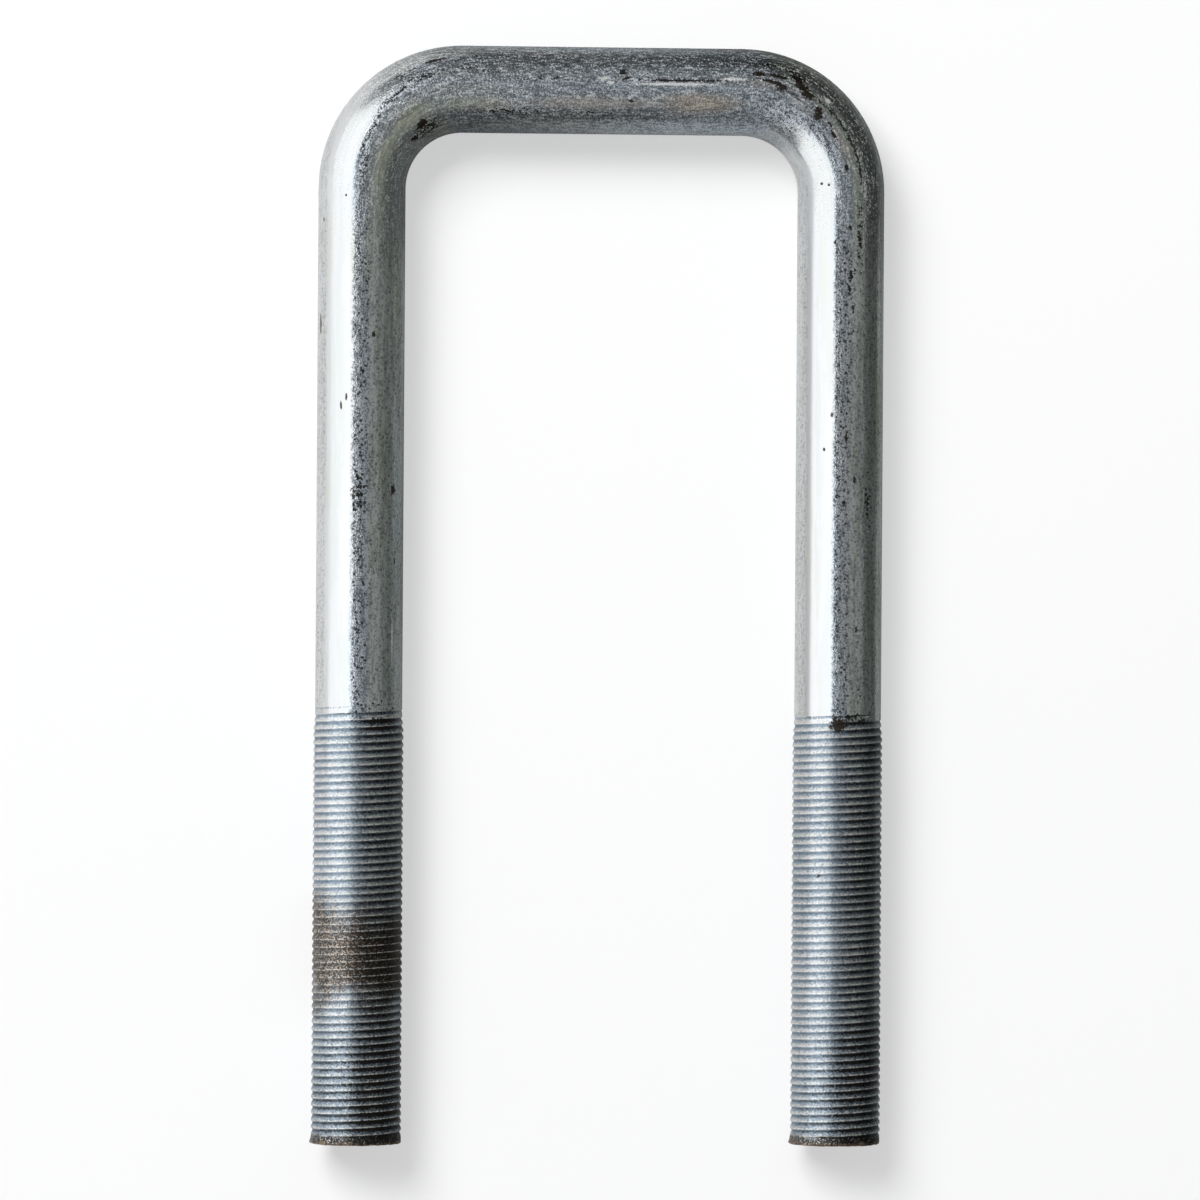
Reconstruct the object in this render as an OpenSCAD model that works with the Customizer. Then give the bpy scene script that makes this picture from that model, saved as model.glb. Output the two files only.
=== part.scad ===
// Square u-bolt: one round bar, bent twice to a right angle and threaded at both feet.
// It lies flat. X runs across the legs, +Y towards the bridge, +Z up from the resting surface.
// The origin is on that surface, under the middle of the bolt's outline.

/* [Bar] */
// Diameter of the plain bar: shanks, bends and bridge
shank_d = 18.4; // [12:0.1:24]
// Gap between the two plain shanks
inside_w = 83.2; // [60:0.1:150]
// From the feet up to the inside of the bridge
inside_l = 213.5; // [160:0.5:320]

/* [Bends] */
// Radius on the inside of each bend
bend_inside_r = 12; // [8:0.5:20]

/* [Threads] */
// Major diameter of both threads
thread_d = 19.05; // [12:0.01:25.4]
// Threaded length of the left leg, with its run-out
left_thread_l = 90.5; // [30:0.5:120]
// Threaded length of the right leg, with its run-out
right_thread_l = 89.5; // [30:0.5:120]
// Length over which each thread fades out into the shank
run_out_l = 3.5; // [1:0.5:8]

/* [Hidden] */
$fn = 128;
shank_r = shank_d / 2;
thread_r = thread_d / 2;
// Centre line of the bar: spacing of the legs, radius of the bends and straight length of a leg
leg_spacing = inside_w + shank_d;
bend_r = bend_inside_r + shank_r;
leg_l = inside_l - bend_inside_r;
// Centre of the right bend; the left one mirrors it
bend_x = leg_spacing / 2 - bend_r;
// Whole length of the outline, and height of the centre line above the resting surface
overall_l = inside_l + shank_d;
rest_r = max(shank_r, thread_r);

// A straight leg, turned about its own axis from the foot up: thread, run-out, plain shank
module leg(thread_l) {
    rotate([-90, 0, 0])
        rotate_extrude()
            polygon([
                [0, 0],
                [thread_r, 0],
                [thread_r, thread_l - run_out_l],
                [shank_r, thread_l],
                [shank_r, leg_l],
                [0, leg_l]
            ]);
}

// A quarter turn of the bar, from the top of the right leg to the bridge
module bend() {
    rotate_extrude(angle = 90)
        translate([bend_r, 0])
            circle(r = shank_r);
}

// The straight bar across the top
module bridge() {
    translate([-bend_x, leg_l + bend_r, 0])
        rotate([0, 90, 0])
            cylinder(r = shank_r, h = 2 * bend_x);
}

// One half of the bolt without its bridge, on the right
module bent_leg(thread_l) {
    translate([leg_spacing / 2, 0, 0])
        leg(thread_l);
    translate([bend_x, leg_l, 0])
        bend();
}

// The whole bolt is one piece of zinc-coated steel bar
module u_bolt() {
    color([0.60, 0.62, 0.63])
        translate([0, -overall_l / 2, rest_r]) {
            bent_leg(right_thread_l);
            mirror([1, 0, 0])
                bent_leg(left_thread_l);
            bridge();
        }
}

u_bolt();
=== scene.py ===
import math

import bmesh
import bpy
from mathutils import Matrix, Vector, noise


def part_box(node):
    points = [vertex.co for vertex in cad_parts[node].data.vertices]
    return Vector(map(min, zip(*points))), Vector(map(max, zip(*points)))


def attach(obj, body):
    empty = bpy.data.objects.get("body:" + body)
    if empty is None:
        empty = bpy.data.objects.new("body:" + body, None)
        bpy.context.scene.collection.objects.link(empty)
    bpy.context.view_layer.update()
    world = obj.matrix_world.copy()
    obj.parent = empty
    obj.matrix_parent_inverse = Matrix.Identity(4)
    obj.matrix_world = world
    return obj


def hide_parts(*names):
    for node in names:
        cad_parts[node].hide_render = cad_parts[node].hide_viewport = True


bl_info = {
    "name": "Square U-Bolt",
    "version": (1, 0, 0),
    "blender": (4, 5, 0),
    "location": "View3D > Sidebar > U-Bolt",
    "description": "A worn zinc-coated square u-bolt with its threads, lying on a pale floor",
    "category": "Object",
}

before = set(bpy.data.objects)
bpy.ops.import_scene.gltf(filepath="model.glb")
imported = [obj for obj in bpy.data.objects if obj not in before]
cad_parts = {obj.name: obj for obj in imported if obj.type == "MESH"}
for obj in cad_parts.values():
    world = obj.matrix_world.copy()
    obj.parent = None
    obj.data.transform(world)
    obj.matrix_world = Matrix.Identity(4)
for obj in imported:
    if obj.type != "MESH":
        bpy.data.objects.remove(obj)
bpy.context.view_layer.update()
BOLT_LOW, BOLT_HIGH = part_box("u_bolt")

MM = 0.001
# The bolt's outline gives the thread's diameter, the height of the bar's axis and the legs' spacing
THREAD_D = BOLT_HIGH.z - BOLT_LOW.z
AXIS_Z = (BOLT_LOW.z + BOLT_HIGH.z) / 2
LEG_X = (BOLT_HIGH.x - BOLT_LOW.x - THREAD_D) / 2
FOOT_Y = BOLT_LOW.y
TOP_Y = BOLT_HIGH.y

# One pitch of the worn thread, from one root to the next: (share of the pitch, share of the depth)
THREAD_FORM = [
    (0, 1),
    (0.1, 0.75),
    (0.19, 0.28),
    (0.28, 0.03),
    (0.48, 0.03),
    (0.63, 0.24),
    (0.78, 0.6),
    (0.9, 0.9),
]
# Shares of a pitch: where a root meets the foot on a leg's right side, and how far past a root the bright
# line on the crest lies, worn metal that is partly a painted glint
THREAD_START = 0.39
BRIGHT_LINE = 0.3
# Rings over a foot's end, from the lip in to the middle: (share of the radius, share of the lip's height)
FOOT_RINGS = [(1.0, 0.7), (1.0, 0.4), (1.0, 0.1), (0.97, 0), (0.85, 0.03), (0.6, 0.05), (0.3, 0.05)]
# How far a foot's lip strays outwards: in wide waves, in fine ones, and in its flare to the left; and how
# far it strays along the leg
LIP_WAVES = 0.3 * MM
LIP_FINE = 0.12 * MM
LIP_FLARE = 0.5 * MM
LIP_RISE = 0.15 * MM
# Where each foot's lip is read in the noise
LEFT_LIP, RIGHT_LIP = 3.1, 7.7
# Length of the faces along the plain bar
RING_L = 1.3 * MM

# Marks on top of the bolt, in mm: along the bar from the left foot, outwards from its middle line,
# half length, half width
SPOTS = [
    (303.3, 4.9, 1.8, 1.1),
    (304.9, 3.7, 2.0, 1.1),
    (306.2, 2.9, 1.7, 1.1),
    (309.8, 1.8, 1.1, 1.0),
    (310.4, 0.6, 1.3, 1.0),
    (313.1, 1.5, 0.9, 0.3),
    (315.2, 1.0, 1.3, 0.5),
    (322.4, 0.8, 0.8, 0.45),
    (301.2, 1.9, 1.5, 1.0),
    (299.0, 2.4, 3.4, 0.45),
    (296.4, 3.4, 1.4, 0.7),
    (300.0, 3.9, 2.6, 0.5),
    (268.0, 3.4, 0.9, 0.8),
    (268.8, 2.1, 0.8, 0.4),
    (269.8, -2.7, 0.7, 0.4),
    (230.1, 6.2, 2.0, 0.5),
    (222.3, -5.2, 2.4, 1.2),
    (218.0, -6.6, 1.6, 0.9),
    (280.0, 1.7, 14.0, 0.28),
    (170.4, -2.4, 0.8, 0.5),
    (162.6, -0.1, 0.6, 0.4),
    (155.6, 4.4, 1.2, 0.35),
    (157.3, 3.3, 0.9, 0.3),
    (137.8, -6.7, 1.4, 0.9),
    (199.6, 3.6, 0.5, 0.3),
    (194.5, 8.1, 0.6, 0.3),
    (173.1, 8.6, 3.4, 0.5),
    (325.2, -4.8, 0.5, 0.4),
    (325.7, -3.4, 0.5, 0.4),
    (335.1, 1.2, 0.8, 0.45),
    (344.8, 1.3, 1.2, 0.5),
    (338.1, -2.1, 0.7, 0.4),
    (374.5, -2.5, 0.6, 0.4),
    (379.4, 0.5, 1.1, 0.45),
    (381.9, -4.1, 0.5, 0.4),
    (388.2, 2.3, 1.2, 0.4),
    (393.1, 0.1, 0.8, 0.35),
    (439.9, -0.8, 1.9, 2.3),
    (471.8, -4.6, 0.5, 0.5),
    (482.2, 6.5, 0.6, 0.5),
    (505.9, -3.3, 0.4, 0.4),
    (505.9, 0.4, 0.4, 0.4),
    (502.8, 4.5, 0.5, 0.4),
]
NICKS = [
    (264.0, 1.9, 1.3, 0.6),
    (265.4, 1.1, 1.4, 0.6),
    (278.7, 0.9, 14.0, 0.55),
    (291.7, 2.1, 3.8, 0.6),
    (309.8, 4.7, 1.1, 0.8),
    (106.2, -6.7, 8.0, 0.3),
    (213.0, 2.4, 8.0, 0.2),
]
# Wide sooty and tarnished zones, as the marks above, with a strength
SOOT = [
    (137.0, 0.9, 9.0, 2.2, 0.88),
    (224.7, 5.7, 4.0, 1.2, 0.9),
    (230.4, 2.2, 7.0, 0.7, 0.8),
    (237.3, 3.7, 8.0, 0.6, 0.8),
    (236.1, 6.6, 3.5, 1.4, 0.7),
    (244.4, -5.0, 13.0, 1.4, 0.8),
    (260.8, -5.4, 3.5, 0.9, 0.9),
    (251.6, 1.7, 7.0, 1.0, 0.8),
    (282.2, 1.6, 12.0, 0.35, 0.9),
    (305.6, -4.9, 8.0, 2.6, 0.6),
    (300.0, 5.8, 6.0, 0.9, 0.9),
    (319.3, 3.6, 14.0, 1.3, 1.0),
    (335.0, 3.2, 14.0, 1.1, 0.9),
    (308.0, 3.4, 10.0, 1.0, 1.0),
    (350.0, 1.6, 12.0, 1.2, 0.8),
    (394.5, 5.4, 12.0, 1.0, 0.8),
    (420.5, 2.9, 4.5, 1.1, 0.7),
    (434.0, 3.4, 3.5, 0.8, 0.6),
    (123.7, -7.2, 4.0, 0.7, 0.7),
    (118.6, -1.9, 5.0, 0.6, 0.6),
    (108.2, 8.8, 14.0, 1.2, 0.6),
    (223.0, -6.5, 9.0, 3.4, 0.9),
    # Rows 205 to 235 mm along follow the highlight's right edge round the left bend: partly soot, partly
    # painted shade
    (205.0, 0.3, 7.0, 1.3, 0.9),
    (212.0, 1.6, 7.0, 1.3, 0.9),
    (219.0, 2.8, 7.0, 1.4, 0.9),
    (226.0, 3.6, 7.0, 1.4, 0.9),
    (235.0, 4.1, 8.0, 1.3, 0.8),
    (438.6, 2.8, 2.0, 6.5, 0.8),
    (92.0, -4.6, 3.0, 7.0, 0.5),
    (88.8, -4.9, 2.6, 6.0, 0.7),
    (12.0, -5.0, 18.0, 12.0, 0.6),
    (264.0, 1.0, 62.0, 10.0, 0.25),
    (8.0, 4.0, 26.0, 15.0, 0.5),
    (522.0, 0.0, 24.0, 15.0, 0.4),
    (308.0, -2.0, 22.0, 8.0, 0.5),
]
TARNISH = [
    (284.0, -3.0, 13.0, 3.0, 1.0),
    (262.0, -3.2, 24.0, 2.2, 0.7),
    (236.0, -3.6, 14.0, 2.6, 0.8),
    (221.0, -2.6, 8.0, 3.0, 1.0),
    (209.0, -3.2, 12.0, 2.6, 0.8),
    (297.0, 1.4, 6.0, 1.6, 0.5),
    (307.0, 0.5, 7.0, 1.5, 0.5),
    (318.0, 1.2, 7.0, 1.6, 0.55),
]
# Rust in the left thread: from and to along the leg, in mm, and how far its ends wander
RUST_ZONE = (29.0, 51.0)
RUST_WANDER = 26 * MM
# Where the finish changes, along the bar from the middle of the bridge: grain over the bridge, streaks over
# the bends too; and from the left foot: the tarnish turns from olive to warm
GRAIN_REACH = (40 * MM, 52 * MM)
STREAK_REACH = (60 * MM, 80 * MM)
OLIVE_TO_WARM = (228 * MM, 252 * MM)

# Glowing cards close round the bolt, seen only in the metal, that paint grey and dark reflections in the
# bar:
# side of the bar (-1 inner, 1 outer), gap and height in mm, brightness as a sum of eases, and cover as one
# ease.
# An ease is an axis, from and to in mm, and two values.
CARDS = [
    (-1, 1.5, 15.5, [("X", -32, 20, 0.14, 0.48), ("Y", 60, 85, 0.14, 0)], ("X", 34, 41, 1, 0)),
    (-1, 1.8, 22, [("Y", 60, 90, 0.2, 0.13)], ("X", 0, 40, 1, 0)),
    (1, 1.5, 13.5, [("X", 0, 40, 0.45, 0.2), ("Y", 60, 85, 0.13, 0)], ("X", -60, -25, 0, 1)),
    (1, 1.8, 21, [("X", 5, 35, 0.17, 0.06), ("Y", 60, 85, 0.07, 0)], ("X", -44, -22, 0, 1)),
]
# How far the cards reach past the feet, and the faces round each of their bends
CARD_PAST = 12 * MM
CARD_STEPS = 12
CARD_COLOUR = (0.95, 0.98, 1, 1)
ROOM_COLOUR = (0.96, 0.975, 1, 1)
# Brightness of the room at the level of the floor and overhead
ROOM_LEVELS = (0.19, 0.37)
FLOOR_HALF_W = 6

# Lights: place, what they aim at, and width and height
SOFTBOX = ((-0.9, 0.1, 0.62), (-0.35, 0.1, 0.3), (2.0, 1.5))
KEY = ((-1.13, 1.3, 2.0), (0, 0, 0), (1.3, 1.3))

# The camera, fitted to the photograph: lens and sensor in mm, what it looks at, how far off it stands,
# its turn about the view and its lean to the left
LENS = 207
SENSOR_W = 36
LOOK_AT = Vector((0.135, -1.024, 9.525)) * MM
AWAY = 1460.6 * MM
TURN = math.radians(0.376)
LEAN = math.radians(-3.926)


class BoltSizes(bpy.types.PropertyGroup):
    bar_d: bpy.props.FloatProperty(
        name="Bar diameter",
        description="Diameter of the plain bar",
        default=18.4 * MM,
        min=0.012,
        max=0.024,
        precision=4,
        unit="LENGTH",
    )
    bend_inside_r: bpy.props.FloatProperty(
        name="Bend radius",
        description="Radius on the inside of each bend",
        default=12 * MM,
        min=0.008,
        max=0.02,
        precision=4,
        unit="LENGTH",
    )
    left_thread_l: bpy.props.FloatProperty(
        name="Left thread",
        description="Threaded length of the left leg, with its run-out",
        default=90.5 * MM,
        min=0.03,
        max=0.12,
        precision=4,
        unit="LENGTH",
    )
    right_thread_l: bpy.props.FloatProperty(
        name="Right thread",
        description="Threaded length of the right leg, with its run-out",
        default=89.5 * MM,
        min=0.03,
        max=0.12,
        precision=4,
        unit="LENGTH",
    )
    run_out_l: bpy.props.FloatProperty(
        name="Run-out",
        description="Length over which each thread fades out into the plain bar",
        default=3.5 * MM,
        min=0.001,
        max=0.008,
        precision=4,
        unit="LENGTH",
    )
    pitch: bpy.props.FloatProperty(
        name="Pitch",
        description="Distance from one thread crest to the next",
        default=25.4 / 16 * MM,
        min=0.001,
        max=0.003,
        precision=5,
        unit="LENGTH",
    )
    thread_depth: bpy.props.FloatProperty(
        name="Thread depth",
        description="Depth of the worn thread from crest to root",
        default=0.34 * MM,
        min=0.0002,
        max=0.001,
        precision=5,
        unit="LENGTH",
    )
    wear: bpy.props.FloatProperty(
        name="Thread wear",
        description="How far the threads' shading is eased to that of the plain bar",
        default=0.7,
        min=0,
        max=1,
        subtype="FACTOR",
    )
    lean: bpy.props.FloatProperty(
        name="Thread lean",
        description="How far the thread's lines lean up on their right, besides their own rise",
        default=0.2 * MM,
        min=0,
        max=0.0004,
        precision=5,
        unit="LENGTH",
    )
    lip_h: bpy.props.FloatProperty(
        name="Sheared lip",
        description="Height of the rolled lip that shearing left round each foot",
        default=1.8 * MM,
        min=0.0002,
        max=0.003,
        precision=5,
        unit="LENGTH",
    )
    columns: bpy.props.IntProperty(
        name="Columns",
        description="Number of faces round the bar",
        default=64,
        min=24,
        max=96,
    )


class ZincFinish(bpy.types.PropertyGroup):
    zinc: bpy.props.FloatVectorProperty(
        name="Zinc",
        description="Colour of the clean zinc coat",
        default=(0.632, 0.636, 0.642),
        min=0,
        max=1,
        subtype="COLOR",
    )
    # Painted shade tint: the olive that the zinc takes on the bar's right side, away from the softbox
    shade_zinc: bpy.props.FloatVectorProperty(
        name="Olive zinc",
        description="Colour of the zinc coat on the right side of the bar",
        default=(0.65, 0.675, 0.62),
        min=0,
        max=1,
        subtype="COLOR",
    )
    dull_zinc: bpy.props.FloatVectorProperty(
        name="Dull zinc",
        description="Colour of the zinc coat where it has dulled",
        default=(0.47, 0.505, 0.435),
        min=0,
        max=1,
        subtype="COLOR",
    )
    grime: bpy.props.FloatVectorProperty(
        name="Grime",
        description="Colour of the dirt in pits and thread roots",
        default=(0.022, 0.02, 0.017),
        min=0,
        max=1,
        subtype="COLOR",
    )
    pits: bpy.props.FloatVectorProperty(
        name="Pits",
        description="Colour of the small pits in the coat",
        default=(0.06, 0.065, 0.065),
        min=0,
        max=1,
        subtype="COLOR",
    )
    # Stain on the threads' flanks, darker on their right side as painted shade; also the colour of the
    # coat's fine dark specks
    flank_stain_and_shade: bpy.props.FloatVectorProperty(
        name="Thread flanks",
        description="Colour of the stained zinc on the flanks of the threads",
        default=(0.11, 0.14, 0.16),
        min=0,
        max=1,
        subtype="COLOR",
    )
    # Painted shade: how far the threads are dimmed on their right side, away from the softbox
    thread_shade_dim: bpy.props.FloatVectorProperty(
        name="Thread coat",
        description="How far the coat is dimmed on the threads",
        default=(0.72, 0.74, 0.75),
        min=0,
        max=1,
        subtype="COLOR",
    )
    # Worn bare metal along the crests, light and partly matt, so it also shows as a painted glint on the
    # shaded side
    crest: bpy.props.FloatVectorProperty(
        name="Thread crests",
        description="Colour of the thin bright line along the threads' crests",
        default=(0.8, 0.77, 0.7),
        min=0,
        max=1,
        subtype="COLOR",
    )
    # Painted light: the flanks' colour on their left side, which faces the softbox
    lit_flank: bpy.props.FloatVectorProperty(
        name="Clean flanks",
        description="Colour of the flanks of the threads on their cleaner left sides",
        default=(0.24, 0.3, 0.36),
        min=0,
        max=1,
        subtype="COLOR",
    )
    brown_veil: bpy.props.FloatVectorProperty(
        name="Brown veil",
        description="Colour of the thin rust that veils part of the left thread",
        default=(0.06, 0.05, 0.037),
        min=0,
        max=1,
        subtype="COLOR",
    )
    # Painted bluish reflection: shown mostly where the bar faces up and at its right rim
    bluish: bpy.props.FloatVectorProperty(
        name="Bluish zinc",
        description="Colour of the bluish streaks of the zinc coat",
        default=(0.57, 0.63, 0.68),
        min=0,
        max=1,
        subtype="COLOR",
    )
    tarnish: bpy.props.FloatVectorProperty(
        name="Tarnish",
        description="Colour of the warm tarnished zones",
        default=(0.6, 0.52, 0.43),
        min=0,
        max=1,
        subtype="COLOR",
    )
    olive_tarnish: bpy.props.FloatVectorProperty(
        name="Olive tarnish",
        description="Colour of the tarnish over the left bend",
        default=(0.56, 0.585, 0.46),
        min=0,
        max=1,
        subtype="COLOR",
    )
    nicks: bpy.props.FloatVectorProperty(
        name="Nicks",
        description="Colour of the bright nicks and scratches",
        default=(0.8, 0.8, 0.76),
        min=0,
        max=1,
        subtype="COLOR",
    )
    sheared: bpy.props.FloatVectorProperty(
        name="Sheared feet",
        description="Colour of the bare steel specks on the sheared feet",
        default=(0.5, 0.47, 0.42),
        min=0,
        max=1,
        subtype="COLOR",
    )
    rust: bpy.props.FloatVectorProperty(
        name="Rust",
        description="Colour of the rust",
        default=(0.37, 0.24, 0.135),
        min=0,
        max=1,
        subtype="COLOR",
    )


class StageSettings(bpy.types.PropertyGroup):
    floor_colour: bpy.props.FloatVectorProperty(
        name="Floor",
        description="Colour of the floor",
        default=(0.452, 0.452, 0.452),
        min=0,
        max=1,
        subtype="COLOR",
    )
    floor_lift: bpy.props.FloatProperty(
        name="Floor lift",
        description="Share of white that the floor shows by itself, to the camera and in reflections",
        default=0.5,
        min=0,
        max=1,
    )
    softbox_level: bpy.props.FloatProperty(
        name="Softbox",
        description="Brightness of the tall softbox on the left, which shows in the metal",
        default=1.28,
        min=0,
        max=4,
    )
    key_level: bpy.props.FloatProperty(
        name="Key light",
        description="Brightness of the high light at the upper left, which lights matt surfaces",
        default=14,
        min=0,
        max=60,
    )


def node(tree, kind, links=None, **settings):
    """A new node with its settings, and with a socket or a plain value on each named or numbered input."""
    made = tree.nodes.new(kind)
    for name, value in settings.items():
        setattr(made, name, value)
    for name, value in (links or {}).items():
        if isinstance(value, bpy.types.NodeSocket):
            tree.links.new(value, made.inputs[name])
        else:
            made.inputs[name].default_value = value
    return made


def calculate(tree, operation, a, b=0.0, clamp=False):
    """One sum on sockets or plain values."""
    made = node(tree, "ShaderNodeMath", {0: a, 1: b}, operation=operation, use_clamp=clamp)
    return made.outputs[0]


def ease(tree, value, low, high, out_low=0.0, out_high=1.0):
    """value eased from low..high to out_low..out_high."""
    links = {"Value": value, "From Min": low, "From Max": high, "To Min": out_low, "To Max": out_high}
    made = node(tree, "ShaderNodeMapRange", links, interpolation_type="SMOOTHSTEP")
    return made.outputs["Result"]


def blend(tree, share, a, b, blend_type="MIX"):
    """Colour a turned into colour b by share."""
    made = node(tree, "ShaderNodeMix", {0: share, 6: a, 7: b}, data_type="RGBA", blend_type=blend_type)
    return made.outputs[2]


def cloud(tree, place, scale, detail, roughness):
    """Noise of about 0..1 at a place, with scale given in patches a metre."""
    links = {"Vector": place, "Scale": scale, "Detail": detail, "Roughness": roughness}
    return node(tree, "ShaderNodeTexNoise", links).outputs["Fac"]


def rgba(colour):
    """The colour with full alpha, as sockets want it."""
    return (*colour, 1)


def bar_frame(sizes):
    """Centre-line facts of the bar: its radius, the bend's radius, the bend centre's x and y."""
    bar_r = sizes.bar_d / 2
    bend_r = sizes.bend_inside_r + bar_r
    return bar_r, bend_r, LEG_X - bend_r, TOP_Y - bar_r - bend_r


def half_length(sizes):
    """Length of the bar's centre line from a foot to the middle of the bridge."""
    _, bend_r, bend_x, bend_y = bar_frame(sizes)
    return bend_y - FOOT_Y + bend_r * math.pi / 2 + bend_x


def place_on_bar(co, sizes):
    """Where a point is on the bar: out from its centre line, up from it, and along it from the left foot."""
    _, bend_r, bend_x, bend_y = bar_frame(sizes)
    half_l = half_length(sizes)
    side = math.copysign(1, co.x)
    x = abs(co.x)
    if co.y <= bend_y:
        out, along = x - LEG_X, co.y - FOOT_Y
    elif x >= bend_x:
        angle = math.atan2(co.y - bend_y, x - bend_x)
        out, along = math.hypot(x - bend_x, co.y - bend_y) - bend_r, bend_y - FOOT_Y + bend_r * angle
    else:
        out, along = co.y - bend_y - bend_r, half_l - x
    return Vector((out, co.z - AXIS_Z, along if side < 0 else 2 * half_l - along))


def crest_radius(height, sizes, thread_l):
    """Radius of a thread's crest at a height above the foot."""
    left = min(1, max(0, (thread_l - height) / sizes.run_out_l))
    return sizes.bar_d / 2 + (THREAD_D - sizes.bar_d) / 2 * left


def groove_share(co, sizes):
    """How deep in a thread groove a point lies, from 0 on a crest or the plain bar to 1 at the root."""
    thread_l = sizes.left_thread_l if co.x < 0 else sizes.right_thread_l
    height = co.y - FOOT_Y
    if height > thread_l + 2 * sizes.pitch:
        return 0
    radius = math.hypot(abs(co.x) - LEG_X, co.z - AXIS_Z)
    return min(1, max(0, (crest_radius(height, sizes, thread_l) - radius) / sizes.thread_depth))


def crest_line(co, sizes):
    """How near a point is to a crest's bright line: 1 on it, -1 half a pitch off and off the thread."""
    thread_l = sizes.left_thread_l if co.x < 0 else sizes.right_thread_l
    height = co.y - FOOT_Y
    if not sizes.lip_h < height < thread_l:
        return -1
    arm = Vector((co.x - math.copysign(LEG_X, co.x), co.z - AXIS_Z)).normalized()
    turn_share = (height - sizes.lean * arm.x) / sizes.pitch + math.atan2(arm.y, arm.x) / (2 * math.pi)
    return math.cos(2 * math.pi * (turn_share - THREAD_START - BRIGHT_LINE))


def mark_share(place, marks):
    """How strongly the wide marks cover a place on the bar: fully in a mark's core, less towards its rim."""
    share = 0
    for middle, half_l, half_w, strength in marks:
        way = place - middle
        if abs(way.z) < half_l:
            far = math.hypot(way.z / half_l, math.hypot(way.x, way.y) / half_w)
            share = max(share, strength * min(1, 1.6 * (1 - far)))
    return share


def on_top(along, out, bar_r):
    """The place on top of the bar at mm along it and mm outwards."""
    return Vector((out * MM, math.sqrt(max(0, bar_r**2 - (out * MM) ** 2)), along * MM))


def wide_marks(rows, bar_r):
    """The wide marks with their middles as places on the bar, and their reach in metres."""
    return [
        (on_top(along, out, bar_r), half_l * MM, half_w * MM, strength)
        for along, out, half_l, half_w, strength in rows
    ]


def ring_edges(geom):
    """The edges among what an operator made."""
    return [e for e in geom if isinstance(e, bmesh.types.BMEdge)]


def ring_verts(edges):
    """The edges' vertices, each once."""
    return list({v for e in edges for v in e.verts})


def push(bm, ring, step):
    """The ring extruded by one step. Returns the new ring."""
    made = ring_edges(bmesh.ops.extrude_edge_only(bm, edges=ring)["geom"])
    bmesh.ops.translate(bm, verts=ring_verts(made), vec=step)
    return made


def push_along(bm, ring, travel):
    """The ring extruded over a whole travel, in steps of about RING_L."""
    count = max(1, round(travel.length / RING_L))
    for _ in range(count):
        ring = push(bm, ring, travel / count)
    return ring


def turn(bm, ring, centre, angle, steps):
    """The ring swept round an upright axis through centre."""
    made = bmesh.ops.spin(
        bm,
        geom=ring + ring_verts(ring),
        cent=centre,
        axis=(0, 0, 1),
        angle=angle,
        steps=steps,
        use_duplicate=False,
    )
    return ring_edges(made["geom_last"])


def turns_of(thread_l, sizes):
    """Whole pitches from the foot to where a leg's own mesh ends in the plain bar, past the run-out."""
    return math.ceil(thread_l / sizes.pitch) + 2


def thread_radius(share, height, sizes, thread_l):
    """Radius of the thread's surface at a share of its depth and a height above the foot."""
    fade = min(1, max(0, (thread_l + sizes.pitch * 1.5 - height) / sizes.run_out_l))
    return crest_radius(height, sizes, thread_l) - sizes.thread_depth * max(0, share - (1 - fade))


def add_thread(bm, sizes, leg_x, thread_l):
    """Right-hand thread of one leg, cut square at the foot's lip and in the plain bar above it."""
    turns = turns_of(thread_l, sizes)
    column = []
    for number in range(-2, turns + 2):
        for at, share in THREAD_FORM:
            height = (number + at + THREAD_START) * sizes.pitch
            radius = THREAD_D / 2 - sizes.thread_depth * share
            column.append(bm.verts.new((leg_x + radius, FOOT_Y + height, AXIS_Z)))
    lines = [bm.edges.new(pair) for pair in zip(column, column[1:])]
    bmesh.ops.spin(
        bm,
        geom=column + lines,
        cent=(leg_x, 0, AXIS_Z),
        axis=(0, 1, 0),
        dvec=(0, sizes.pitch / sizes.columns, 0),
        angle=2 * math.pi,
        steps=sizes.columns,
        use_duplicate=False,
    )
    bmesh.ops.remove_doubles(bm, verts=bm.verts, dist=2e-6)
    for vert in bm.verts:
        arm = Vector((vert.co.x - leg_x, vert.co.z - AXIS_Z))
        share = (THREAD_D / 2 - arm.length) / sizes.thread_depth
        vert.co.y += sizes.lean * arm.x / arm.length
        arm *= thread_radius(share, vert.co.y - FOOT_Y, sizes, thread_l) / arm.length
        vert.co.x, vert.co.z = leg_x + arm.x, AXIS_Z + arm.y
    for cut_y, facing in ((FOOT_Y + sizes.lip_h, -1), (FOOT_Y + turns * sizes.pitch, 1)):
        geom = bm.verts[:] + bm.edges[:] + bm.faces[:]
        bmesh.ops.bisect_plane(
            bm, geom=geom, dist=1e-6, plane_co=(0, cut_y, 0), plane_no=(0, facing, 0), clear_outer=True
        )
    top_y = max(v.co.y for v in bm.verts)
    column_angle = 2 * math.pi / sizes.columns
    # Points where a thread line crosses the upper cut, between two columns
    between = []
    for vert in (v for v in bm.verts if v.co.y > top_y - 1e-6):
        place = math.atan2(vert.co.z - AXIS_Z, vert.co.x - leg_x) / column_angle
        if abs(place - round(place)) > 0.01:
            between.append(vert)
    bmesh.ops.dissolve_verts(bm, verts=between)


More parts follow.
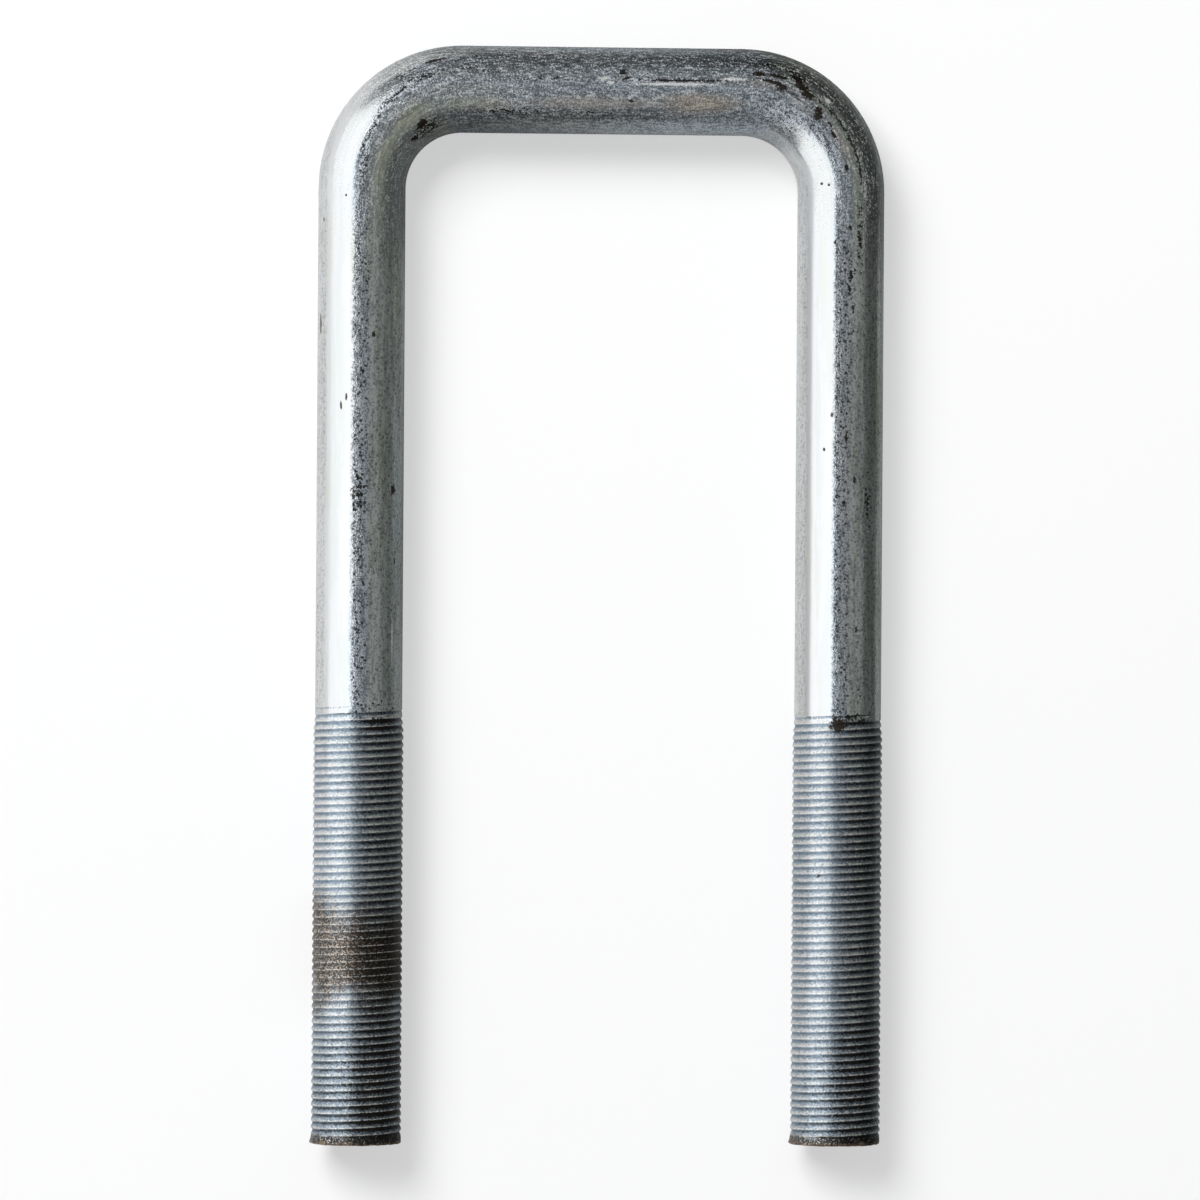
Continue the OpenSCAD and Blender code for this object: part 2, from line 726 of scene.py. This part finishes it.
def add_foot(bm, sizes, leg_x, seed):
    """The sheared foot below a thread: a ragged rolled lip and an uneven end face."""
    axis = Vector((leg_x, FOOT_Y, AXIS_Z))
    low = min(v.co.y for v in bm.verts)
    ring = [e for e in bm.edges if e.is_boundary and max(v.co.y for v in e.verts) < low + sizes.lip_h / 2]
    for share, height in FOOT_RINGS:
        ring = ring_edges(bmesh.ops.extrude_edge_only(bm, edges=ring)["geom"])
        for vert in ring_verts(ring):
            arm = Vector((vert.co.x - axis.x, vert.co.z - axis.z)).normalized()
            ragged = noise.noise(Vector((arm.x * 2, arm.y * 2, seed)))
            fine = noise.noise(Vector((arm.x * 9, arm.y * 9, seed + height)))
            flare = LIP_FLARE * max(0, -arm.x) ** 2 * (1 - height) ** 2
            radius = (THREAD_D / 2 + LIP_WAVES * ragged + LIP_FINE * fine + flare) * share
            vert.co = axis + Vector((arm.x * radius, height * sizes.lip_h + LIP_RISE * fine, arm.y * radius))
            vert.co.z = max(vert.co.z, 0)
    bmesh.ops.holes_fill(bm, edges=ring, sides=0)


def add_leg_end(bm, sizes, leg_x, thread_l, seed):
    """Adds one threaded leg end to the bolt, made by itself, open where the plain bar goes on."""
    own = bmesh.new()
    add_thread(own, sizes, leg_x, thread_l)
    add_foot(own, sizes, leg_x, seed)
    mesh = bpy.data.meshes.new("leg_end")
    own.to_mesh(mesh)
    own.free()
    bm.from_mesh(mesh)
    bpy.data.meshes.remove(mesh)


def add_bar(bm, sizes):
    """The plain bar from the left leg's thread over both bends to the right leg's, open at both ends."""
    bar_r, bend_r, bend_x, bend_y = bar_frame(sizes)
    bend_steps = round(bend_r * math.pi / 2 / RING_L)
    left_y = FOOT_Y + turns_of(sizes.left_thread_l, sizes) * sizes.pitch
    right_y = FOOT_Y + turns_of(sizes.right_thread_l, sizes) * sizes.pitch
    start = Matrix.Translation((-LEG_X, left_y, AXIS_Z)) @ Matrix.Rotation(math.pi / 2, 4, "X")
    bmesh.ops.create_circle(bm, segments=sizes.columns, radius=bar_r, matrix=start)
    ring = push_along(bm, bm.edges[:], Vector((0, bend_y - left_y, 0)))
    ring = turn(bm, ring, (-bend_x, bend_y, AXIS_Z), -math.pi / 2, bend_steps)
    ring = push_along(bm, ring, Vector((2 * bend_x, 0, 0)))
    ring = turn(bm, ring, (bend_x, bend_y, AXIS_Z), -math.pi / 2, bend_steps)
    push_along(bm, ring, Vector((0, right_y - bend_y, 0)))


def worn_normal(vert, sizes):
    """The surface's direction at a point, on the worn threads turned towards that of the plain bar."""
    thread_l = sizes.left_thread_l if vert.co.x < 0 else sizes.right_thread_l
    if not sizes.lip_h * 1.1 < vert.co.y - FOOT_Y < thread_l:
        return vert.normal
    outwards = Vector((vert.co.x - math.copysign(LEG_X, vert.co.x), 0, vert.co.z - AXIS_Z)).normalized()
    return vert.normal.lerp(outwards, sizes.wear).normalized()


def build_bolt(sizes, finish):
    """The whole bolt as one closed mesh, with the attributes that its finish reads."""
    bm = bmesh.new()
    add_bar(bm, sizes)
    add_leg_end(bm, sizes, -LEG_X, sizes.left_thread_l, LEFT_LIP)
    add_leg_end(bm, sizes, LEG_X, sizes.right_thread_l, RIGHT_LIP)
    bmesh.ops.remove_doubles(bm, verts=[v for v in bm.verts if v.is_boundary], dist=5e-6)
    bmesh.ops.recalc_face_normals(bm, faces=bm.faces)
    for face in bm.faces:
        face.smooth = True
    mesh = bpy.data.meshes.new("bolt")
    bm.to_mesh(mesh)
    bm.free()
    # A new attribute moves the others' data, so the data are fetched after all are made
    mesh.attributes.new("bar_place", "FLOAT_VECTOR", "POINT")
    shares = ("groove", "crest", "soot", "tarnish", "facing")
    for name in shares:
        mesh.attributes.new(name, "FLOAT", "POINT")
    places = mesh.attributes["bar_place"].data
    grooves, crests, soot, tarnish, facing = (mesh.attributes[name].data for name in shares)
    bar_r = sizes.bar_d / 2
    soot_marks, tarnish_marks = wide_marks(SOOT, bar_r), wide_marks(TARNISH, bar_r)
    normals = []
    for vert in mesh.vertices:
        place = place_on_bar(vert.co, sizes)
        places[vert.index].vector = place
        grooves[vert.index].value = groove_share(vert.co, sizes)
        crests[vert.index].value = crest_line(vert.co, sizes)
        soot[vert.index].value = mark_share(place, soot_marks)
        tarnish[vert.index].value = mark_share(place, tarnish_marks)
        normals.append(worn_normal(vert, sizes))
        facing[vert.index].value = normals[-1].x
    mesh.normals_split_custom_set_from_vertices(normals)
    bolt = bpy.data.objects.new("bolt", mesh)
    bpy.context.scene.collection.objects.link(bolt)
    mesh.materials.append(worn_zinc(sizes, finish))
    return bolt


def spot_group():
    """Node group: how near a place is to the middle of a mark, from 0 at its reach to 1 in the middle."""
    group = bpy.data.node_groups.new("spot", "ShaderNodeTree")
    for name in ("Place", "Middle", "Reach"):
        group.interface.new_socket(name=name, in_out="INPUT", socket_type="NodeSocketVector")
    group.interface.new_socket(name="Share", in_out="OUTPUT", socket_type="NodeSocketFloat")
    given = node(group, "NodeGroupInput").outputs
    links = {0: given["Place"], 1: given["Middle"]}
    way = node(group, "ShaderNodeVectorMath", links, operation="SUBTRACT").outputs[0]
    links = {0: way, 1: given["Reach"]}
    way = node(group, "ShaderNodeVectorMath", links, operation="DIVIDE").outputs[0]
    far = node(group, "ShaderNodeVectorMath", {0: way}, operation="LENGTH").outputs["Value"]
    node(group, "NodeGroupOutput", {"Share": calculate(group, "SUBTRACT", 1.0, far, clamp=True)})
    return group


def marked(tree, group, place, marks, bar_r):
    """Share of the small marks at a place, from one spot node for each mark."""
    share = 0.0
    for along, out, half_l, half_w in marks:
        made = tree.nodes.new("ShaderNodeGroup")
        made.node_tree = group
        tree.links.new(place, made.inputs["Place"])
        made.inputs["Middle"].default_value = on_top(along, out, bar_r)
        made.inputs["Reach"].default_value = Vector((half_w, half_w, half_l)) * MM
        share = calculate(tree, "MAXIMUM", share, made.outputs["Share"])
    return share


def worn_zinc(sizes, finish):
    """Zinc coat with fine grain, streaks along the bar, soot, tarnish, rust and grime in the threads, with
    painted shade on the bar's right side.
    """
    bar_r = sizes.bar_d / 2
    half_l = half_length(sizes)
    mat = bpy.data.materials.new("worn_zinc")
    mat.use_nodes = True
    tree = mat.node_tree
    tree.nodes.clear()
    group = spot_group()

    def read(name, output):
        return node(tree, "ShaderNodeAttribute", attribute_name=name).outputs[output]

    def scaled(value, by):
        return calculate(tree, "MULTIPLY", value, by)

    def plus(a, b):
        return calculate(tree, "ADD", a, b)

    place, groove, crest = read("bar_place", "Vector"), read("groove", "Fac"), read("crest", "Fac")
    zone, facing = read("soot", "Fac"), read("facing", "Fac")
    along = node(tree, "ShaderNodeSeparateXYZ", {"Vector": place}).outputs["Z"]

    # Noise over the bar: long streaks and short lines drawn out along it, and even patches, grain and specks
    drawn = node(tree, "ShaderNodeMapping", {"Vector": place, "Scale": (1, 1, 0.06)}).outputs["Vector"]
    streak = cloud(tree, drawn, 520, 3, 0.6)
    lined = node(tree, "ShaderNodeMapping", {"Vector": place, "Scale": (1, 1, 0.25)}).outputs["Vector"]
    lines = cloud(tree, lined, 1700, 3, 0.7)
    tint = cloud(tree, drawn, 170, 2, 0.5)
    patch = cloud(tree, place, 90, 4, 0.6)
    grain = cloud(tree, place, 3400, 1, 0.5)
    speck = cloud(tree, place, 2500, 2, 0.6)
    cells = node(tree, "ShaderNodeTexVoronoi", {"Vector": place, "Scale": 1000}).outputs["Distance"]

    # Dark specks and pits are kept off the side that faces the softbox, which is a painted highlight. They
    # are strongest along the top and weaker on the right. The bridge is pitted all over, and over the bends
    # and the bridge the marks are streaks along the bar.
    pitting_off_highlight = ease(tree, facing, 0.08, 0.22, 1, 0.55)
    pitting_off_highlight = calculate(tree, "MULTIPLY", ease(tree, facing, -0.3, -0.18), pitting_off_highlight)
    pitting_off_highlight = plus(pitting_off_highlight, ease(tree, facing, -0.85, -0.77, 0.35, 0))
    # 1 where the bar faces right, away from the softbox: this mask paints shade on that side
    shaded_side = ease(tree, facing, -0.5, 0.4)
    off_middle = calculate(tree, "ABSOLUTE", plus(along, -half_l))
    pitting_off_highlight = calculate(tree, "MAXIMUM", pitting_off_highlight, ease(tree, off_middle, *GRAIN_REACH, 0.75, 0))
    thread_top = half_l - sizes.left_thread_l
    threads = ease(tree, off_middle, thread_top, thread_top + 2.5 * MM)
    pitting_off_highlight = scaled(pitting_off_highlight, ease(tree, threads, 0, 1, 1, 0.2))
    streaked = ease(tree, off_middle, *STREAK_REACH, 1, 0)
    mottle = plus(scaled(lines, 0.45), scaled(speck, 0.55))
    grit = plus(scaled(speck, 0.6), scaled(grain, 0.4))

    # Plain coat: clean, dull or bluish in streaks, with fine dark specks and pits. Painted shade tint: the
    # coat turns olive and dulls more on the bar's right side, away from the softbox. The bluish streaks show
    # mostly along the top and at the right rim, as a painted bluish reflection.
    shade = ease(tree, facing, 0.05, 0.25)
    colour = blend(tree, shade, rgba(finish.zinc), rgba(finish.shade_zinc))
    dull = ease(tree, plus(scaled(streak, 1.4), scaled(plus(lines, patch), 0.3)), 0.92, 1.12)
    dull = scaled(dull, plus(scaled(shade, 0.75), 0.25))
    colour = blend(tree, dull, colour, rgba(finish.dull_zinc))
    bluish = ease(tree, plus(tint, scaled(streaked, 0.1)), 0.42, 0.66, 0, 0.9)
    bluish = scaled(bluish, ease(tree, facing, -0.35, -0.2, 0.3, 1))
    bluish_right = plus(ease(tree, facing, 0.05, 0.2, 1, 0.15), ease(tree, facing, 0.6, 0.8, 0, 0.7))
    bluish = scaled(bluish, bluish_right)
    colour = blend(tree, bluish, colour, rgba(finish.bluish))
    uneven = plus(plus(streak, patch), mottle)
    tarnish = plus(scaled(read("tarnish", "Fac"), 0.9), scaled(uneven, 0.35))
    tarnish = ease(tree, tarnish, 0.45, 1.6)
    past_left_bend = ease(tree, along, *OLIVE_TO_WARM)
    warm = blend(tree, past_left_bend, rgba(finish.olive_tarnish), rgba(finish.tarnish))
    colour = blend(tree, scaled(tarnish, 0.9), colour, warm)
    fine = scaled(ease(tree, mottle, 0.46, 0.57, 0, 0.85), pitting_off_highlight)
    fine = scaled(fine, ease(tree, streaked, 0, 1, 1, 0.92))
    fine = scaled(fine, ease(tree, tarnish, 0, 0.8, 1, 0.72))
    colour = blend(tree, fine, colour, rgba(finish.flank_stain_and_shade))
    pits = scaled(ease(tree, plus(cells, scaled(streak, -0.3)), 0.02, 0.22, 0.95, 0), pitting_off_highlight)
    pits = scaled(pits, ease(tree, streaked, 0, 1, 1, 0.2))
    colour = blend(tree, pits, colour, rgba(finish.pits))

    # Threads: painted shade that dims their right side; stained flanks, painted lighter on the left and
    # darker on the right; grime at the root, stronger on the right as painted shade; a thin bright line
    # along the crest
    dim = blend(tree, shaded_side, rgba((1, 1, 1)), rgba(finish.thread_shade_dim))
    colour = blend(tree, threads, colour, dim, "MULTIPLY")
    # Grime in the grooves, partly painted shade there, which the eased normals don't give
    ragged = plus(groove, plus(scaled(plus(grit, -0.5), 3.0), scaled(plus(patch, -0.5), 0.8)))
    ragged = plus(ragged, scaled(zone, 0.7))
    # Off the crest the grooves darken further on the shaded right side: painted shade
    off_crest = scaled(plus(scaled(crest, -0.5), 0.5), threads)
    ragged = plus(ragged, calculate(tree, "MULTIPLY", off_crest, ease(tree, shaded_side, 0.3, 1, 0, 0.35)))
    cut = calculate(tree, "MAXIMUM", threads, ease(tree, groove, 0.02, 0.15))
    # The flank stain, painted lighter on the left side that faces the softbox and darker on the shaded right
    stain_and_shade = blend(tree, shaded_side, rgba(finish.lit_flank), rgba(finish.flank_stain_and_shade))
    colour = blend(tree, scaled(ease(tree, ragged, -0.1, 0.6), cut), colour, stain_and_shade)
    # More grime at the root on the shaded right side: painted shade
    root = plus(plus(scaled(shaded_side, 0.5), 0.5), scaled(zone, 0.7))
    root = calculate(tree, "MULTIPLY", scaled(ease(tree, ragged, 0.7, 1.2), root), cut, clamp=True)
    colour = blend(tree, root, colour, rgba(finish.grime))
    # The crest's bright line: worn bare metal, partly a painted glint that stays bright on the shaded side
    # too
    bright = scaled(ease(tree, crest, 0.65, 0.95), ease(tree, grit, 0.47, 0.55, 1, 0.2))
    colour = blend(tree, scaled(bright, 0.8), colour, rgba(finish.crest))

    # Sooty zones: black dots that grow with their share, or streaks over the bends and the bridge
    dots = plus(plus(scaled(zone, 0.42), scaled(cells, -0.45)), scaled(speck, 0.5))
    smears = plus(plus(scaled(zone, 0.34), mottle), -0.42)
    soot = plus(scaled(dots, calculate(tree, "SUBTRACT", 1.0, streaked)), scaled(smears, streaked))
    soot = scaled(ease(tree, soot, 0.28, 0.42), ease(tree, zone, 0, 0.1))
    soot = scaled(soot, ease(tree, threads, 0, 1, 1, 0.5))
    colour = blend(tree, scaled(soot, 0.9), colour, rgba(finish.grime))
    salt = calculate(tree, "MULTIPLY", zone, ease(tree, speck, 0.42, 0.32), clamp=True)
    pale = scaled(ease(tree, mottle, 0.47, 0.39), streaked)
    pale = scaled(pale, ease(tree, tarnish, 0, 0.8, 1, 0.8))
    salt = calculate(tree, "MAXIMUM", salt, pale)

    # Rust: the left thread's zone, the feet and the spots
    wander = scaled(plus(patch, -0.5), RUST_WANDER)
    middle, half = sum(RUST_ZONE) / 2 * MM, (RUST_ZONE[1] - RUST_ZONE[0]) / 2 * MM
    off = calculate(tree, "ABSOLUTE", plus(plus(along, -middle), wander))
    rust = ease(tree, off, half * 1.3, half * 0.4)
    # The rust veil grows and turns from brown to near black on the shaded right side, and the tan rust fades
    # there: painted shade
    veil = scaled(rust, ease(tree, plus(grit, scaled(shaded_side, 0.12)), 0.44, 0.51, 0.15, 0.95))
    veil = scaled(veil, ease(tree, bright, 0, 1, 1, 0.3))
    colour = blend(tree, veil, colour, blend(tree, shaded_side, rgba(finish.brown_veil), rgba(finish.grime)))
    rust = scaled(rust, ease(tree, plus(grit, scaled(bright, 0.02)), 0.47, 0.44))
    rust = scaled(rust, ease(tree, shaded_side, 0, 1, 0.8, 0.25))
    height = node(tree, "ShaderNodeTexCoord").outputs["Object"]
    height = node(tree, "ShaderNodeSeparateXYZ", {"Vector": height}).outputs["Y"]
    height = plus(height, scaled(plus(cloud(tree, place, 700, 3, 0.6), -0.5), 3 * MM))
    foot = ease(tree, height, FOOT_Y + 2.5 * MM, FOOT_Y + 1.4 * MM)
    edge = ease(tree, height, FOOT_Y + 0.8 * MM, FOOT_Y + 0.3 * MM)
    near = marked(tree, group, place, SPOTS, bar_r)
    spots = ease(tree, plus(near, scaled(plus(speck, plus(lines, -1.0)), 1.4)), 0.05, 0.36)
    spots = scaled(spots, ease(tree, near, 0, 0.12))
    # Fewer bare specks on the shaded right side: painted shade
    bare = ease(tree, plus(grit, scaled(shaded_side, -0.05)), 0.53, 0.6)
    sheared = blend(tree, bare, rgba(finish.grime), rgba(finish.sheared))
    colour = blend(tree, scaled(foot, 0.92), colour, sheared)
    rust = calculate(tree, "MAXIMUM", scaled(rust, 0.85), scaled(edge, 0.4))
    brown = blend(tree, ease(tree, lines, 0.4, 0.5), rgba(finish.grime), rgba(finish.rust))
    colour = blend(tree, rust, colour, brown)
    spot_colour = blend(tree, 0.06, rgba(finish.grime), rgba(finish.rust))
    colour = blend(tree, scaled(spots, 0.95), colour, spot_colour)

    # Bright matt nicks and scratches of bare metal; the two nicks in the middle of the bridge paint the
    # glint of a small dent
    near = marked(tree, group, place, NICKS, bar_r)
    nicks = ease(tree, plus(near, scaled(plus(grain, -0.5), 0.9)), 0.2, 0.6)
    nicks = scaled(nicks, ease(tree, near, 0, 0.12))
    colour = blend(tree, scaled(nicks, 0.6), colour, rgba(finish.nicks))

    # Rust, nicks, pale specks and crests are partly matt; rust, tarnish and the threads are rougher
    matt = calculate(tree, "MAXIMUM", scaled(rust, 0.75), scaled(nicks, 0.5))
    matt = calculate(tree, "MAXIMUM", matt, scaled(salt, 0.45))
    matt = calculate(tree, "MAXIMUM", matt, scaled(bright, 0.25))
    matt = scaled(matt, ease(tree, spots, 0, 1, 1, 0.1))
    rough = plus(ease(tree, dull, 0, 1, 0.11, 0.24), scaled(ease(tree, grain, 0.45, 0.6, 0, 0.28), pitting_off_highlight))
    rough = plus(rough, scaled(calculate(tree, "MAXIMUM", rust, tarnish), 0.15))
    rough = plus(rough, ease(tree, facing, -0.75, -0.62, 0.2, 0))
    rough = plus(rough, plus(scaled(threads, 0.24), scaled(streaked, 0.08)))
    depth = plus(scaled(grain, ease(tree, patch, 0.3, 0.7, 0.7, 1.3)), scaled(streak, 0.9))
    depth = scaled(depth, plus(scaled(pitting_off_highlight, 0.8), 0.06))
    bump = node(tree, "ShaderNodeBump", {"Height": depth, "Distance": 0.1 * MM, "Strength": 1.0})
    links = {
        "Base Color": colour,
        "Roughness": rough,
        "Metallic": calculate(tree, "SUBTRACT", 1.0, matt),
        "Normal": bump.outputs["Normal"],
    }
    shader = node(tree, "ShaderNodeBsdfPrincipled", links)
    node(tree, "ShaderNodeOutputMaterial", {"Surface": shader.outputs["BSDF"]})
    return mat


def floor_finish(settings):
    """Pale matt floor that shows near white to the camera and in reflections, and keeps its shadows."""
    mat = bpy.data.materials.new("pale_floor")
    mat.use_nodes = True
    tree = mat.node_tree
    tree.nodes.clear()
    path = node(tree, "ShaderNodeLightPath")
    seen = calculate(tree, "MAXIMUM", path.outputs["Is Camera Ray"], path.outputs["Is Glossy Ray"])
    seen = calculate(tree, "MAXIMUM", seen, path.outputs["Is Transmission Ray"])
    lift = calculate(tree, "MULTIPLY", seen, settings.floor_lift)
    matt = node(tree, "ShaderNodeBsdfDiffuse", {"Color": rgba(settings.floor_colour)})
    glow = node(tree, "ShaderNodeEmission", {"Color": (1, 1, 1, 1), "Strength": lift})
    both = node(tree, "ShaderNodeAddShader", {0: matt.outputs[0], 1: glow.outputs[0]})
    node(tree, "ShaderNodeOutputMaterial", {"Surface": both.outputs[0]})
    return mat


def build_floor(settings):
    """The floor under the bolt."""
    bm = bmesh.new()
    bmesh.ops.create_grid(bm, x_segments=1, y_segments=1, size=FLOOR_HALF_W)
    mesh = bpy.data.meshes.new("floor")
    bm.to_mesh(mesh)
    bm.free()
    floor = bpy.data.objects.new("floor", mesh)
    bpy.context.scene.collection.objects.link(floor)
    mesh.materials.append(floor_finish(settings))


def add_panel_light(name, set_up, level, in_metal):
    """A soft rectangular light of a given radiance. It shows either in the metal or on matt surfaces."""
    place, target, size = set_up
    lamp = bpy.data.lights.new(name, "AREA")
    lamp.shape = "RECTANGLE"
    lamp.size, lamp.size_y = size
    lamp.energy = level * math.pi * size[0] * size[1]
    made = bpy.data.objects.new(name, lamp)
    made.location = place
    aim = Vector(target) - Vector(place)
    made.rotation_mode = "QUATERNION"
    made.rotation_quaternion = aim.to_track_quat("-Z", "Y")
    made.visible_camera = False
    made.visible_glossy = in_metal
    made.visible_diffuse = not in_metal
    bpy.context.scene.collection.objects.link(made)


def card_finish(name, brightness, cover):
    """A glowing card that shows from its front only, as far as it covers."""
    mat = bpy.data.materials.new(name)
    mat.use_nodes = True
    tree = mat.node_tree
    tree.nodes.clear()
    here = node(tree, "ShaderNodeTexCoord").outputs["Object"]
    axes = node(tree, "ShaderNodeSeparateXYZ", {"Vector": here}).outputs
    level = 0.0
    for axis, low, high, out_low, out_high in brightness:
        level = calculate(tree, "ADD", level, ease(tree, axes[axis], low * MM, high * MM, out_low, out_high))
    # Dark at the floor, for a thin dark painted reflection along the bar's edge
    level = calculate(tree, "MULTIPLY", level, ease(tree, axes["Z"], 5 * MM, 9 * MM, 0.4, 1))
    axis, low, high, out_low, out_high = cover
    share = ease(tree, axes[axis], low * MM, high * MM, out_low, out_high)
    front = calculate(tree, "SUBTRACT", 1.0, node(tree, "ShaderNodeNewGeometry").outputs["Backfacing"])
    share = calculate(tree, "MULTIPLY", share, front)
    grey = node(tree, "ShaderNodeEmission", {"Color": CARD_COLOUR, "Strength": level})
    clear = node(tree, "ShaderNodeBsdfTransparent")
    both = node(tree, "ShaderNodeMixShader", {0: share, 1: clear.outputs[0], 2: grey.outputs[0]})
    node(tree, "ShaderNodeOutputMaterial", {"Surface": both.outputs[0]})
    return mat


def build_cards():
    """Low grey cards, taller dark ones behind, all round the bolt: painted reflections seen only in the
    metal.
    """
    bar_r, bend_r, bend_x, bend_y = bar_frame(bpy.context.scene.ubolt_sizes)
    leg_l = bend_y - FOOT_Y + CARD_PAST
    for number, (side, gap, height, brightness, cover) in enumerate(CARDS):
        name = f"card_{number}"
        radius = bend_r + side * (bar_r + gap * MM)
        bm = bmesh.new()
        start = (bend_x + radius, bend_y - leg_l)
        edge = [bm.edges.new((bm.verts.new((*start, 0)), bm.verts.new((*start, height * MM))))]
        edge = push(bm, edge, Vector((0, leg_l, 0)))
        edge = turn(bm, edge, (bend_x, bend_y, 0), math.pi / 2, CARD_STEPS)
        edge = push(bm, edge, Vector((-2 * bend_x, 0, 0)))
        edge = turn(bm, edge, (-bend_x, bend_y, 0), math.pi / 2, CARD_STEPS)
        push(bm, edge, Vector((0, -leg_l, 0)))
        if side > 0:
            bmesh.ops.reverse_faces(bm, faces=bm.faces)
        mesh = bpy.data.meshes.new(name)
        bm.to_mesh(mesh)
        bm.free()
        card = bpy.data.objects.new(name, mesh)
        bpy.context.scene.collection.objects.link(card)
        mesh.materials.append(card_finish(name, brightness, cover))
        card.visible_camera = False
        card.visible_diffuse = False
        card.visible_transmission = False
        card.visible_shadow = False


def build_world():
    """A plain studio room: dim walls, a little lighter overhead."""
    world = bpy.data.worlds.new("studio_room")
    world.use_nodes = True
    tree = world.node_tree
    tree.nodes.clear()
    way = node(tree, "ShaderNodeTexCoord").outputs["Generated"]
    up = node(tree, "ShaderNodeSeparateXYZ", {"Vector": way}).outputs["Z"]
    level = ease(tree, up, 0.0, 1.0, *ROOM_LEVELS)
    glow = node(tree, "ShaderNodeBackground", {"Color": ROOM_COLOUR, "Strength": level})
    node(tree, "ShaderNodeOutputWorld", {"Surface": glow.outputs[0]})
    bpy.context.scene.world = world


def build_camera():
    """A long lens looking straight down, a little from the left."""
    camera = bpy.data.cameras.new("camera")
    camera.lens = LENS
    camera.sensor_width = SENSOR_W
    made = bpy.data.objects.new("camera", camera)
    tilt = Matrix.Rotation(TURN, 4, "Z") @ Matrix.Rotation(LEAN, 4, "Y")
    made.matrix_world = Matrix.Translation(LOOK_AT) @ tilt @ Matrix.Translation((0, 0, AWAY))
    bpy.context.scene.collection.objects.link(made)
    bpy.context.scene.camera = made


class UBOLT_OT_make_bolt(bpy.types.Operator):
    """Build the u-bolt: bar, bends, threads and sheared feet in one piece"""

    bl_idname = "ubolt.make_bolt"
    bl_label = "Make the bolt"

    def execute(self, context):
        scene = context.scene
        bolt = build_bolt(scene.ubolt_sizes, scene.ubolt_finish)
        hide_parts("u_bolt")
        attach(bolt, "root")
        return {"FINISHED"}


class UBOLT_OT_make_stage(bpy.types.Operator):
    """Set the floor, the lights, the room and the camera"""

    bl_idname = "ubolt.make_stage"
    bl_label = "Make the stage"

    def execute(self, context):
        settings = context.scene.ubolt_stage
        build_floor(settings)
        build_world()
        build_cards()
        add_panel_light("softbox", SOFTBOX, settings.softbox_level, True)
        add_panel_light("key", KEY, settings.key_level, False)
        build_camera()
        context.scene.view_settings.view_transform = "Standard"
        return {"FINISHED"}


class UBOLT_PT_panel(bpy.types.Panel):
    """Lists the steps that build the bolt and its stage"""

    bl_idname = "UBOLT_PT_panel"
    bl_label = "Square U-Bolt"
    bl_space_type = "VIEW_3D"
    bl_region_type = "UI"
    bl_category = "U-Bolt"

    def draw(self, context):
        layout = self.layout
        for group in (context.scene.ubolt_sizes, context.scene.ubolt_finish, context.scene.ubolt_stage):
            box = layout.box()
            for name in group.__annotations__:
                box.prop(group, name)
        layout.operator(UBOLT_OT_make_bolt.bl_idname)
        layout.operator(UBOLT_OT_make_stage.bl_idname)


CLASSES = (BoltSizes, ZincFinish, StageSettings, UBOLT_OT_make_bolt, UBOLT_OT_make_stage, UBOLT_PT_panel)


def register():
    for cls in CLASSES:
        bpy.utils.register_class(cls)
    bpy.types.Scene.ubolt_sizes = bpy.props.PointerProperty(type=BoltSizes)
    bpy.types.Scene.ubolt_finish = bpy.props.PointerProperty(type=ZincFinish)
    bpy.types.Scene.ubolt_stage = bpy.props.PointerProperty(type=StageSettings)


def unregister():
    del bpy.types.Scene.ubolt_stage
    del bpy.types.Scene.ubolt_finish
    del bpy.types.Scene.ubolt_sizes
    for cls in reversed(CLASSES):
        bpy.utils.unregister_class(cls)


def main():
    register()
    bpy.ops.ubolt.make_bolt()
    bpy.ops.ubolt.make_stage()


if __name__ == "__main__":
    main()
